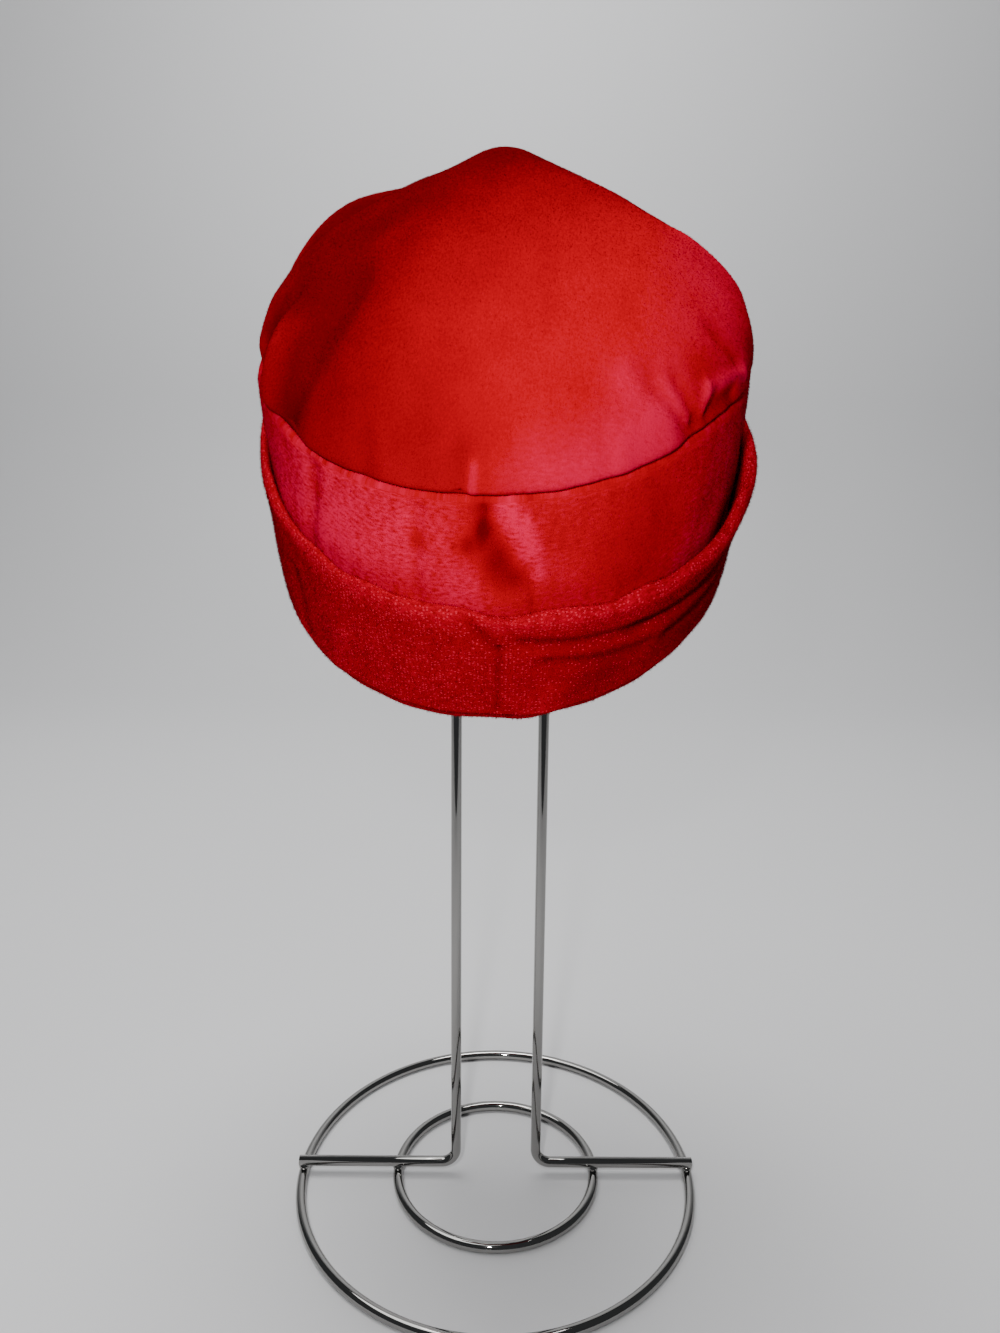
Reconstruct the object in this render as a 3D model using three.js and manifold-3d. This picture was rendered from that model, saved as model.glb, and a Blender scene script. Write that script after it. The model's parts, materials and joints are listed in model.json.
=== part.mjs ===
// A soft pillbox hat that hangs by its crown on the arch of a plain welded wire stand.
// Millimetres, +Z up. The viewer of the hat's front stands on the -Y side, so the hat tips towards -Y.
import * as THREE from 'three';
import { mergeVertices } from 'three/addons/utils/BufferGeometryUtils.js';
import Module from 'manifold-3d';

const wasm = await Module();
wasm.setup();

// The stand
const STAND_HEIGHT = 457.2;
const WIRE = 4.8;
const BASE_WIDTH = 190;
const INNER_RING_WIDTH = 99;
const UPRIGHT_SPACING = 38.4;
const FOOT_BEND = 7;
const WELD_SINK = 0.4;

// The hat
const HAT_TILT = 36;
const CROWN_WIDTH = 184;
const CROWN_DEPTH = 188;
const HEM_WIDTH = 172;
const HEM_DEPTH = 187;
const BAND_HEIGHT = 75;
const BAND_SLANT = 26.6;
const TIP_RISE = 47.8;
const TIP_BACK = 65.6;
const VELVET = 1.6;
const CUFF_CLOTH = 3;
const CUFF_HEIGHT = 52;
const LIP_HEIGHT = 14;
const SEAM_TUCK = 2.2;
const CLEARANCE = 0.3;

// How the tip leaves the arch and meets its seam, by the angle round the hat (0 front, 90 right, 180 back).
// slope: degrees below level at the arch; reach and belly: handle lengths as shares of the straight distance;
// lean: degrees that the cloth leans in from the hat's axis above the seam.
const TIP_TABLE = [
  { angle: 0, slope: 40, reach: 0.3, lean: 24, belly: 0.25 },
  { angle: 45, slope: 33, reach: 0.32, lean: 14, belly: 0.28 },
  { angle: 90, slope: 27, reach: 0.37, lean: 4, belly: 0.31 },
  { angle: 135, slope: 22, reach: 0.38, lean: 2, belly: 0.33 },
  { angle: 180, slope: 20, reach: 0.38, lean: 2, belly: 0.33 },
  { angle: 225, slope: 26, reach: 0.38, lean: -6, belly: 0.5 },
  { angle: 250, slope: 28, reach: 0.33, lean: 0, belly: 0.38 },
  { angle: 280, slope: 29, reach: 0.3, lean: 10, belly: 0.22 },
  { angle: 315, slope: 33, reach: 0.3, lean: 16, belly: 0.27 },
];

// How far the seam and the hem rise from their planes and the band bellies out, as shares of its height.
const SEAM_TABLE = [
  { angle: 0, rise: 0, hem: 0.01, belly: 0.02 },
  { angle: 25, rise: 0.04, hem: 0.05, belly: 0.03 },
  { angle: 50, rise: 0.09, hem: 0.09, belly: 0.02 },
  { angle: 90, rise: 0.02, hem: 0.04, belly: 0.02 },
  { angle: 150, rise: 0, hem: 0, belly: 0.02 },
  { angle: 210, rise: 0, hem: 0, belly: 0.02 },
  { angle: 270, rise: 0, hem: 0, belly: 0.01 },
  { angle: 325, rise: -0.03, hem: -0.02, belly: 0.02 },
];

// The cuff's height and how far its top stands off, as shares of CUFF_HEIGHT.
const CUFF_TABLE = [
  { angle: 0, height: 0.81, flare: 0.06 },
  { angle: 25, height: 0.76, flare: 0.05 },
  { angle: 50, height: 0.72, flare: 0.05 },
  { angle: 90, height: 0.92, flare: 0.06 },
  { angle: 150, height: 1.05, flare: 0.02 },
  { angle: 210, height: 1.05, flare: 0.01 },
  { angle: 270, height: 1, flare: 0 },
  { angle: 315, height: 0.87, flare: 0.02 },
];

// Soft creases. Each runs from one place to another; width and depth are shares of the cloth's thickness.
// On the tip `from` and `to` are shares of the way from the arch to the seam.
const TIP_CREASES = [
  { angle: 307, from: 0.62, toAngle: 305, to: 0.99, width: 5, depth: 1.6 },
  { angle: 238, from: 0.4, toAngle: 256, to: 0.8, width: 5, depth: 2.6 },
  { angle: 281, from: 0.88, toAngle: 281, to: 0.97, width: 4, depth: 1.6 },
  { angle: 96, from: 0.44, toAngle: 102, to: 0.88, width: 4.5, depth: 1.2 },
  { angle: 52, from: 0.7, toAngle: 62, to: 0.9, width: 4, depth: 1.2 },
  { angle: 26, from: 0.76, toAngle: 42, to: 0.96, width: 4, depth: 1.3 },
];
const BAND_CREASES = [
  { angle: 3, from: 1, toAngle: 8, to: 0.5, width: 3, depth: 0.5 },
  { angle: 356, from: 1, toAngle: 358, to: 0.76, width: 5, depth: 1.2 },
  { angle: 342, from: 0.98, toAngle: 342, to: 0.6, width: 5, depth: 0.6 },
  { angle: 316, from: 1, toAngle: 312, to: 0.7, width: 5, depth: 0.7 },
];
const CUFF_CREASES = [
  { angle: 9, from: 0.78, toAngle: 32, to: 0.62, width: 2, depth: 0.4 },
  { angle: 30, from: 0.5, toAngle: 56, to: 0.45, width: 2, depth: 0.4 },
];

const CLOTH_RADIUS = (CROWN_WIDTH + CROWN_DEPTH) / 4;
const ROUND_STEPS = 60;
const ARCH_SWING = 24;
const RIDGE_TURN = 48;
const WIRE_SIDES = 12;
const BASE_RING_STEPS = 48;
const INNER_RING_STEPS = 36;
const TURN = 2 * Math.PI;
const rad = THREE.MathUtils.degToRad;
const mix = THREE.MathUtils.lerp;

// A column of a table read at any angle, smooth and the same again after a full turn.
function around(table, column, angle) {
  const degrees = THREE.MathUtils.euclideanModulo(THREE.MathUtils.radToDeg(angle), 360);
  const count = table.length;
  let next = table.findIndex((row) => row.angle > degrees);
  if (next < 0) next = count;
  const row = (i) => table[THREE.MathUtils.euclideanModulo(i, count)];
  const at = (i) => row(i).angle + 360 * Math.floor(i / count);
  const share = (degrees - at(next - 1)) / (at(next) - at(next - 1));
  const [before, start, end, after] = [-2, -1, 0, 1].map((step) => row(next + step)[column]);
  const span = at(next) - at(next - 1);
  const startSlope = ((end - before) / (at(next) - at(next - 2))) * span;
  const endSlope = ((after - start) / (at(next + 1) - at(next - 1))) * span;
  const s2 = share * share;
  const s3 = s2 * share;
  return (2 * s3 - 3 * s2 + 1) * start + (s3 - 2 * s2 + share) * startSlope
    + (3 * s2 - 2 * s3) * end + (s3 - s2) * endSlope;
}

// How deep the creases press in at a flat place, from each crease's two flat end places.
function pressed(creases, cloth, place, flatten) {
  let depth = 0;
  for (const row of creases) {
    const start = flatten(row.angle, row.from, place);
    const end = flatten(row.toAngle, row.to, start);
    const along = end.clone().sub(start);
    const way = THREE.MathUtils.clamp(place.clone().sub(start).dot(along) / along.lengthSq(), 0, 1);
    const off = start.addScaledVector(along, way).distanceTo(place) / (row.width * cloth);
    depth += row.depth * cloth * Math.exp(-off * off);
  }
  return depth;
}

// The hat's own frame: its axis is tipped towards the front, and the arch holds it off centre.
const ACROSS = new THREE.Vector3(1, 0, 0);
const UPHILL = new THREE.Vector3(0, Math.cos(rad(HAT_TILT)), Math.sin(rad(HAT_TILT)));
const AXIS = new THREE.Vector3(0, -Math.sin(rad(HAT_TILT)), Math.cos(rad(HAT_TILT)));
const SEAM_CENTRE = new THREE.Vector3(0, 0, STAND_HEIGHT)
  .addScaledVector(UPHILL, -TIP_BACK).addScaledVector(AXIS, -TIP_RISE);

function hatPoint(u, v, w) {
  return SEAM_CENTRE.clone().addScaledVector(ACROSS, u).addScaledVector(UPHILL, v).addScaledVector(AXIS, w);
}

const bandArc = (angle, share) => new THREE.Vector2(angle * CLOTH_RADIUS, share * BAND_HEIGHT);

// A flat place of the band or cuff, on the turn that lies nearest to another place.
function unrolled(degrees, share, near) {
  const turns = Math.round((near.x / CLOTH_RADIUS - rad(degrees)) / TURN);
  return bandArc(rad(degrees) + turns * TURN, share);
}

const seamRise = (angle) => around(SEAM_TABLE, 'rise', angle) * BAND_HEIGHT;
const hemRise = (angle) => around(SEAM_TABLE, 'hem', angle) * BAND_HEIGHT;

// A point of the band's outer face: share runs from the hem to the seam, out is how far outside the face.
function wallPoint(angle, share, out, creases) {
  const place = bandArc(angle, share);
  const belly = around(SEAM_TABLE, 'belly', angle) * BAND_HEIGHT * Math.sin(Math.PI * THREE.MathUtils.clamp(share, 0, 1));
  const radial = belly + out - pressed(creases, VELVET, place, unrolled);
  const u = (mix(HEM_WIDTH, CROWN_WIDTH, share) / 2 + radial) * Math.sin(angle);
  const v = (mix(HEM_DEPTH, CROWN_DEPTH, share) / 2 + radial) * Math.cos(angle);
  const lift = mix(hemRise(angle), seamRise(angle), share);
  return hatPoint(u, BAND_SLANT * (share - 1) - v, BAND_HEIGHT * (share - 1) + lift);
}

// A point beside the seam: inside is how far within the crown's outline, up is how far above the seam.
function seamPoint(angle, inside, up) {
  const u = (CROWN_WIDTH / 2 - inside) * Math.sin(angle);
  const v = (CROWN_DEPTH / 2 - inside) * Math.cos(angle);
  return hatPoint(u, -v, seamRise(angle) + up);
}

// Joins rings of points into a closed skin: either round into a loop, or with a pole at each end.
function skin(rings, looped) {
  const count = rings[0].length;
  const positions = rings.flat().flatMap((p) => [p.x, p.y, p.z]);
  const index = [];
  const last = looped ? rings.length : rings.length - 1;
  for (let j = 0; j < last; j++) {
    const lower = j * count;
    const upper = ((j + 1) % rings.length) * count;
    for (let i = 0; i < count; i++) {
      const k = (i + 1) % count;
      index.push(lower + i, lower + k, upper + k, lower + i, upper + k, upper + i);
    }
  }
  const geometry = new THREE.BufferGeometry();
  geometry.setAttribute('position', new THREE.Float32BufferAttribute(positions, 3));
  geometry.setIndex(index);
  return mergeVertices(geometry, 1e-3);
}

function solidFrom(geometry) {
  geometry.deleteAttribute('normal');
  geometry.deleteAttribute('uv');
  const merged = mergeVertices(geometry, 1e-3);
  return new wasm.Manifold(new wasm.Mesh({
    numProp: 3,
    vertProperties: new Float32Array(merged.attributes.position.array),
    triVerts: new Uint32Array(merged.index.array),
  }));
}

function geometryFrom(solid) {
  const made = solid.getMesh();
  const geometry = new THREE.BufferGeometry();
  geometry.setAttribute('position', new THREE.Float32BufferAttribute(made.vertProperties, 3));
  geometry.setIndex([...made.triVerts]);
  return geometry;
}

const angles = Array.from({ length: ROUND_STEPS }, (_, i) => (i / ROUND_STEPS) * TURN);

// The crown tip: a cap wrapped over the wire, then a curve at each angle from the arch to the seam.
const ARCH_RADIUS = UPRIGHT_SPACING / 2;
const ARCH_CENTRE = new THREE.Vector3(0, 0, STAND_HEIGHT - WIRE / 2 - ARCH_RADIUS);

function capPoint(angle, share, clear) {
  const swing = rad(ARCH_SWING) * share * Math.sin(angle);
  const turn = rad(RIDGE_TURN) * share * Math.cos(angle);
  const up = new THREE.Vector3(Math.sin(swing), 0, Math.cos(swing));
  return ARCH_CENTRE.clone().addScaledVector(up, ARCH_RADIUS + clear * Math.cos(turn))
    .add(new THREE.Vector3(0, -clear * Math.sin(turn), 0));
}

const tipPlace = (degrees, share) => {
  const place = new THREE.Vector2(Math.sin(rad(degrees)), Math.cos(rad(degrees)));
  return place.multiplyScalar(share * CLOTH_RADIUS);
};

function tipCurve(angle) {
  const start = capPoint(angle, 1, WIRE / 2 + CLEARANCE + VELVET);
  const end = seamPoint(angle, 0, CLEARANCE / 2 + SEAM_TUCK);
  const level = end.clone().sub(start).setZ(0).normalize();
  const slope = rad(around(TIP_TABLE, 'slope', angle));
  const lean = rad(around(TIP_TABLE, 'lean', angle));
  const chord = start.distanceTo(end);
  const leave = level.multiplyScalar(Math.cos(slope)).setZ(-Math.sin(slope));
  const inward = seamPoint(angle, 1, 0).sub(seamPoint(angle, 0, 0));
  const arrive = AXIS.clone().multiplyScalar(Math.cos(lean)).addScaledVector(inward, Math.sin(lean));
  return new THREE.CubicBezierCurve3(
    start,
    start.clone().addScaledVector(leave, around(TIP_TABLE, 'reach', angle) * chord),
    end.clone().addScaledVector(arrive, around(TIP_TABLE, 'belly', angle) * chord),
    end,
  );
}

const CAP_SHARES = [0, 0.5, 1];
const CURVE_SHARES = [0.08, 0.18, 0.3, 0.42, 0.54, 0.65, 0.75, 0.84, 0.92, 1];
const TUCK_SHARES = [0.35, 1];

// The face of the tip, in rings from the top down to the fold of the seam.
const tipFace = [
  ...CAP_SHARES.map((share) => angles.map((angle) => capPoint(angle, share, WIRE / 2 + CLEARANCE + VELVET))),
  ...CURVE_SHARES.map((share) => angles.map((angle) => tipCurve(angle).getPoint(share))),
  ...TUCK_SHARES.map((share) => angles.map((angle) => seamPoint(
    angle,
    SEAM_TUCK * share,
    CLEARANCE / 2 + SEAM_TUCK * (1 - Math.sin(Math.acos(1 - share))),
  ))),
];

// The direction out of a face at one point of its rings, from the points beside it.
function outward(rings, j, i) {
  const count = rings[0].length;
  const round = rings[j][(i + 1) % count].clone().sub(rings[j][(i + count - 1) % count]);
  const down = rings[Math.min(j + 1, rings.length - 1)][i].clone().sub(rings[Math.max(j - 1, 0)][i]);
  return down.cross(round).normalize();
}

// The tip's creases are pressed into its face, then the inside follows the face at the cloth's thickness.
const pressedFace = tipFace.map((ring, j) => ring.map((point, i) => {
  const step = j - CAP_SHARES.length;
  if (step < 0) return point;
  const share = CURVE_SHARES[Math.min(step, CURVE_SHARES.length - 1)];
  const place = tipPlace(THREE.MathUtils.radToDeg(angles[i]), share);
  return point.clone().addScaledVector(outward(tipFace, j, i), -pressed(TIP_CREASES, VELVET, place, tipPlace));
}));
const tipInside = pressedFace.map((ring, j) => ring.map((point, i) => {
  if (j === 0) return capPoint(0, 0, WIRE / 2 + CLEARANCE);
  return point.clone().addScaledVector(outward(pressedFace, j, i), -VELVET);
}));
tipInside[tipInside.length - 1] = angles.map((angle) => seamPoint(angle, SEAM_TUCK + VELVET, CLEARANCE / 2));
const tipGeometry = skin([...tipInside, ...pressedFace.toReversed()], false);

// The side band: up its face from just above the fold of the cuff, into the seam, and down inside.
const CUFF_FOLD = CUFF_CLOTH + 2 * CLEARANCE;
const BAND_SHARES = [0, 0.12, 0.25, 0.4, 0.55, 0.7, 0.84, 1];
const bandFoot = CUFF_FOLD / BAND_HEIGHT;
const bandTop = 1 - (SEAM_TUCK + CLEARANCE / 2) / BAND_HEIGHT;
const bandRing = (share, out) => angles.map(
  (angle) => wallPoint(angle, mix(bandFoot, bandTop, share), out, BAND_CREASES),
);
// The band's top edge turns in: shares of SEAM_TUCK inside the outline and below the seam.
const TUCK_TURN = { inside: 0.35, down: 0.24 };
const tuckRing = (inside, down) => angles.map((angle) => seamPoint(angle, inside, -CLEARANCE / 2 - down));
const bandGeometry = skin([
  ...BAND_SHARES.map((share) => bandRing(share, 0)),
  tuckRing(SEAM_TUCK * TUCK_TURN.inside, SEAM_TUCK * TUCK_TURN.down),
  tuckRing(SEAM_TUCK, 0),
  tuckRing(SEAM_TUCK + VELVET, 0),
  ...BAND_SHARES.toReversed().map((share) => bandRing(share, -VELVET)),
], true);

// The cuff: a short lip inside the band, a fold under its edge, and the tall double layer outside it.
const LIP_SHARE = 0.7;
// The fold under the edge, inside and outside, and the rolled top, as shares of CUFF_CLOTH.
const FOLD_INSIDE = { height: 0.3, out: 0.3 };
const FOLD_OUTSIDE = { height: 0.4, out: 0.75 };
const ROLL = [
  { drop: 0.8, out: 1.35 },
  { drop: 0, out: 0.8 },
  { drop: 0.5, out: 0.15 },
];
const lipFace = -VELVET - 2 * CLEARANCE;
const lipOuter = lipFace - CUFF_CLOTH * LIP_SHARE;
const cuffFace = 2 * CLEARANCE;
const cuffOuter = cuffFace + CUFF_CLOTH;
const cuffHeight = (angle) => CUFF_HEIGHT * around(CUFF_TABLE, 'height', angle);

function cuffPoint(angle, height, out) {
  const way = THREE.MathUtils.clamp(height / cuffHeight(angle), 0, 1);
  const flare = CUFF_HEIGHT * around(CUFF_TABLE, 'flare', angle) * way * way * (3 - 2 * way);
  const dent = pressed(CUFF_CREASES, CUFF_CLOTH, bandArc(angle, way), unrolled);
  return wallPoint(angle, height / BAND_HEIGHT, out + Math.max(flare - dent, 0), []);
}

const CUFF_SHARES = [0.14, 0.3, 0.46, 0.6, 0.74, 0.87];
const cuffSide = (share, out) => angles.map((angle) => cuffPoint(angle, cuffHeight(angle) * share, out));
const cuffTop = (drop, out) => angles.map((angle) => cuffPoint(angle, cuffHeight(angle) - drop, out));
const cuffFoot = (height, out) => angles.map((angle) => cuffPoint(angle, height, out));
const lipTop = (out) => angles.map((angle) => wallPoint(angle, LIP_HEIGHT / BAND_HEIGHT, out, []));
const cuffGeometry = skin([
  lipTop(lipOuter),
  cuffFoot(CUFF_FOLD, lipOuter),
  cuffFoot(CUFF_CLOTH * FOLD_INSIDE.height, mix(lipOuter, cuffFace, FOLD_INSIDE.out)),
  cuffFoot(0, cuffFace),
  cuffFoot(CUFF_CLOTH * FOLD_OUTSIDE.height, cuffFace + CUFF_CLOTH * FOLD_OUTSIDE.out),
  cuffFoot(CUFF_FOLD, cuffOuter),
  ...CUFF_SHARES.map((share) => cuffSide(share, cuffOuter)),
  ...ROLL.map(({ drop, out }) => cuffTop(CUFF_CLOTH * drop, cuffFace + CUFF_CLOTH * out)),
  ...CUFF_SHARES.toReversed().map((share) => cuffSide(share, cuffFace)),
  cuffFoot(CUFF_FOLD, cuffFace),
  cuffFoot(CUFF_CLOTH, lipFace / 2),
  cuffFoot(CUFF_FOLD, lipFace),
  lipTop(lipFace),
], true);

// The stand: a wire profile with flat sides, so that the rings rest on flat faces.
const wireCorner = WIRE / 2 / Math.cos(Math.PI / WIRE_SIDES);
const wireProfile = Array.from({ length: WIRE_SIDES }, (_, k) => {
  const turn = ((k + 0.5) / WIRE_SIDES) * TURN;
  return new THREE.Vector2(Math.cos(turn), Math.sin(turn)).multiplyScalar(wireCorner);
});

function baseRing(width, steps) {
  const radius = (width - WIRE) / 2;
  const outline = [...wireProfile, wireProfile[0]].map((p) => new THREE.Vector2(radius + p.x, WIRE / 2 + p.y));
  return solidFrom(new THREE.LatheGeometry(outline, steps).rotateX(Math.PI / 2));
}

// Stations of the bent wire in the plane y = 0: place and direction, from the left foot to the right foot.
const footLevel = 1.5 * WIRE - WELD_SINK;
const ARC_STEP = 15;
function bend(centreX, centreZ, radius, from, to, side) {
  const steps = Math.round(Math.abs(to - from) / ARC_STEP);
  return Array.from({ length: steps + 1 }, (_, k) => {
    const turn = rad(mix(from, to, k / steps));
    return {
      x: centreX + radius * Math.cos(turn),
      z: centreZ + radius * Math.sin(turn),
      alongX: -side * Math.sin(turn),
      alongZ: side * Math.cos(turn),
    };
  });
}
const footCorner = UPRIGHT_SPACING / 2 + FOOT_BEND;
const stations = [
  { x: -BASE_WIDTH / 2, z: footLevel, alongX: 1, alongZ: 0 },
  ...bend(-footCorner, footLevel + FOOT_BEND, FOOT_BEND, -90, 0, 1),
  ...bend(0, ARCH_CENTRE.z, ARCH_RADIUS, 180, 0, -1),
  ...bend(footCorner, footLevel + FOOT_BEND, FOOT_BEND, 180, 270, 1),
  { x: BASE_WIDTH / 2, z: footLevel, alongX: 1, alongZ: 0 },
];
const wireRings = stations.map(({ x, z, alongX, alongZ }) => wireProfile.map(
  (p) => new THREE.Vector3(x - alongZ * p.x, -p.y, z + alongX * p.x),
));
const endRing = ({ x, z }) => wireProfile.map(() => new THREE.Vector3(x, 0, z));
const bentWire = skin([endRing(stations[0]), ...wireRings, endRing(stations.at(-1))], false);
const standSolid = solidFrom(bentWire)
  .add(baseRing(BASE_WIDTH, BASE_RING_STEPS))
  .add(baseRing(INNER_RING_WIDTH, INNER_RING_STEPS));

const velvet = new THREE.MeshStandardMaterial({ color: 0xd0101c, roughness: 0.85, metalness: 0 });
const bandVelvet = new THREE.MeshStandardMaterial({ color: 0xd41030, roughness: 0.85, metalness: 0 });
const cuffVelvet = new THREE.MeshStandardMaterial({ color: 0xb80c1c, roughness: 0.8, metalness: 0 });
const chrome = new THREE.MeshStandardMaterial({ color: 0xb8bcc0, roughness: 0.12, metalness: 1 });

const group = new THREE.Group();
for (const [name, geometry, material] of [
  ['crown_tip', tipGeometry, velvet],
  ['side_band', bandGeometry, bandVelvet],
  ['cuff', cuffGeometry, cuffVelvet],
  ['wire_stand', geometryFrom(standSolid), chrome],
]) {
  const mesh = new THREE.Mesh(geometry, material);
  mesh.name = name;
  group.add(mesh);
}

// The origin lies at the middle of the outline's footprint, on the table.
const bounds = new THREE.Box3().setFromObject(group);
const centre = bounds.getCenter(new THREE.Vector3());
group.position.set(-centre.x, -centre.y, -bounds.min.z);

export default group;
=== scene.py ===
# %% [markdown]
# This lesson dresses a soft velvet pillbox hat that hangs on a plain wire stand.
# A CAD model gives the real sizes and stays fixed as the frame. Each soft piece is built again here,
# from the same named sizes, with the finer folds, puckers and pile that only a picture needs.

# %% Tools and the fixed frame
import json
import math

import bmesh
import bpy
import numpy as np
from mathutils import Matrix, Vector
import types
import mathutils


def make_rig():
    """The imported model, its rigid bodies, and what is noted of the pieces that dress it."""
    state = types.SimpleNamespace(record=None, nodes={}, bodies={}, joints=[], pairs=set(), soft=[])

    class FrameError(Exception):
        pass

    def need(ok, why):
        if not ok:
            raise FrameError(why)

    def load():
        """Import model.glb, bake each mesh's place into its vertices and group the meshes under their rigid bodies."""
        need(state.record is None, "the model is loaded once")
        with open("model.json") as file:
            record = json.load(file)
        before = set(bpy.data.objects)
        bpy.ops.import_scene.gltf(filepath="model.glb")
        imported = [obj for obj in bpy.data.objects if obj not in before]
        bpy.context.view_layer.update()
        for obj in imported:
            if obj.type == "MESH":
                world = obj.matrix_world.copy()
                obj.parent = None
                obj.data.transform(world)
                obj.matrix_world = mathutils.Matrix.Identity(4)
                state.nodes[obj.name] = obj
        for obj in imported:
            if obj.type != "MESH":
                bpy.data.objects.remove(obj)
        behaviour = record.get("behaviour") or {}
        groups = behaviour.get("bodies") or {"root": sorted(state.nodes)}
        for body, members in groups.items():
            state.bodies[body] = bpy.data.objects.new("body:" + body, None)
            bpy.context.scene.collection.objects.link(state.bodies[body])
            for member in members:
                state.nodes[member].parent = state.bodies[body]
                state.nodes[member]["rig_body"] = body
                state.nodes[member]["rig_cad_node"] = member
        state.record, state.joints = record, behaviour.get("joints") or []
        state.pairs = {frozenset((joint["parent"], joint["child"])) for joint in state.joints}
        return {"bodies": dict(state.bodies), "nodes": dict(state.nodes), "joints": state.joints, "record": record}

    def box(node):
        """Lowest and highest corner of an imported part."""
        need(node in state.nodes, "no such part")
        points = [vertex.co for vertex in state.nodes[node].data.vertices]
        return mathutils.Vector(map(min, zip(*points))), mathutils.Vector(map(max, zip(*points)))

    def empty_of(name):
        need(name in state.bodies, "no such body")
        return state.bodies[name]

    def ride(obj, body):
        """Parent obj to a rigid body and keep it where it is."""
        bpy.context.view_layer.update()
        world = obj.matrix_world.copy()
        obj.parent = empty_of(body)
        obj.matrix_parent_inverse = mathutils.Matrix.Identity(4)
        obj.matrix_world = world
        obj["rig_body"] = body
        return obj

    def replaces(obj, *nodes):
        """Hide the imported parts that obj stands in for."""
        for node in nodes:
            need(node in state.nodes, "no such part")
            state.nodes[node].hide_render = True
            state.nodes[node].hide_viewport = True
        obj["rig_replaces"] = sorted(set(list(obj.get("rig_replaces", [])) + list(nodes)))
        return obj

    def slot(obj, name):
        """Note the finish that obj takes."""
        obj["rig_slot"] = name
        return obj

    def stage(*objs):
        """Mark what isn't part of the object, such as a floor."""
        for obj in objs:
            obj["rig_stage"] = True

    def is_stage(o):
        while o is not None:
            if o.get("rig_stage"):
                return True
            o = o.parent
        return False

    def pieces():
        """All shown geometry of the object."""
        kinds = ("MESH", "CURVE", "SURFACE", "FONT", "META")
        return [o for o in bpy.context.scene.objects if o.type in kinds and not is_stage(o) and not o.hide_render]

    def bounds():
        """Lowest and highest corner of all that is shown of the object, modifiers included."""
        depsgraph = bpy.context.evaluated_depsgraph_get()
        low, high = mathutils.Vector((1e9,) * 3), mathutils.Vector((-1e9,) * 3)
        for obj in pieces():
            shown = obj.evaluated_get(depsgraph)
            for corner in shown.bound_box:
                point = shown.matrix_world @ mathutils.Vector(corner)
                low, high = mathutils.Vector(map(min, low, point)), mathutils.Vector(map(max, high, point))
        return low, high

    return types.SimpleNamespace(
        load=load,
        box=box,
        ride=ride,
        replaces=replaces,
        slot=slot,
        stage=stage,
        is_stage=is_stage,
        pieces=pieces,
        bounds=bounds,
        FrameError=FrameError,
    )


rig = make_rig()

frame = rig.load()
cad_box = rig.bounds()
print("nodes in the frame:", sorted(frame["nodes"]))

# %% [markdown]
# The sizes are in metres, because Blender's unit is the metre. The stand's height and base can be
# measured on the frame, so they are read from it. The cloth's sizes are named here once.

# %% Sizes
stand_low, stand_high = (np.array(corner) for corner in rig.box("wire_stand"))
STAND_MIDDLE = (stand_low + stand_high)[:2] / 2
STAND_HEIGHT = float(stand_high[2] - stand_low[2])
BASE_WIDTH = float(stand_high[0] - stand_low[0])
WIRE = 0.0048
INNER_RING_WIDTH = 0.099
UPRIGHT_SPACING = 0.0384
FOOT_BEND = 0.007
WELD_SINK = 0.0004

HAT_TILT = math.radians(36)
CROWN_WIDTH = 0.184
CROWN_DEPTH = 0.188
HEM_WIDTH = 0.172
HEM_DEPTH = 0.187
BAND_HEIGHT = 0.075
BAND_SLANT = 0.0266
TIP_RISE = 0.0478
TIP_BACK = 0.0656
VELVET = 0.0016
CUFF_CLOTH = 0.003
CUFF_HEIGHT = 0.052
LIP_HEIGHT = 0.014
SEAM_TUCK = 0.0022
CLEARANCE = 0.0003
MM = 0.001
SHORTEST = 1e-6
print("stand height", round(STAND_HEIGHT, 4), "base width", round(BASE_WIDTH, 4))

# %% [markdown]
# The camera stands where the photographer stood: a little above the crown's seam, looking down about
# eleven degrees. Its place is measured from the middle of the stand's base.

# %% Camera
CAMERA_PLACE = (-0.0024, -0.3951, 0.3280)
CAMERA_PITCH = math.radians(10.96)
CAMERA_ROLL = math.radians(-0.58)
CAMERA_YAW = math.radians(0.30)
PHOTO_HEIGHT = 1333
FOCAL_PIXELS = 925
SENSOR = 36


def turned(x, y, z):
    """A direction turned about the vertical by the camera's yaw."""
    return Vector((
        math.cos(CAMERA_YAW) * x + math.sin(CAMERA_YAW) * y,
        -math.sin(CAMERA_YAW) * x + math.cos(CAMERA_YAW) * y,
        z,
    ))


forward = turned(0, math.cos(CAMERA_PITCH), -math.sin(CAMERA_PITCH))
level_right = turned(1, 0, 0)
level_down = turned(0, -math.sin(CAMERA_PITCH), -math.cos(CAMERA_PITCH))
right = math.cos(CAMERA_ROLL) * level_right + math.sin(CAMERA_ROLL) * level_down
down = -math.sin(CAMERA_ROLL) * level_right + math.cos(CAMERA_ROLL) * level_down
camera_data = bpy.data.cameras.new("camera")
camera_data.sensor_width = SENSOR
camera_data.lens = SENSOR * FOCAL_PIXELS / PHOTO_HEIGHT
camera = bpy.data.objects.new("camera", camera_data)
bpy.context.collection.objects.link(camera)
camera_spot = Vector((*STAND_MIDDLE, 0)) + Vector(CAMERA_PLACE)
camera.matrix_world = Matrix((
    (right.x, -down.x, -forward.x, camera_spot.x),
    (right.y, -down.y, -forward.y, camera_spot.y),
    (right.z, -down.z, -forward.z, camera_spot.z),
    (0, 0, 0, 1),
))
bpy.context.scene.camera = camera
print("lens", round(camera_data.lens, 2), "mm at", tuple(round(v, 3) for v in camera_spot))

# %% [markdown]
# The hat is round, but no two sides of it hang alike. Short tables give what changes round it, one row
# for each angle: 0 is the front, 90 the right side, 180 the back. A smooth curve joins the rows and
# meets itself after a full turn, so one row can be changed without a kink.

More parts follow.
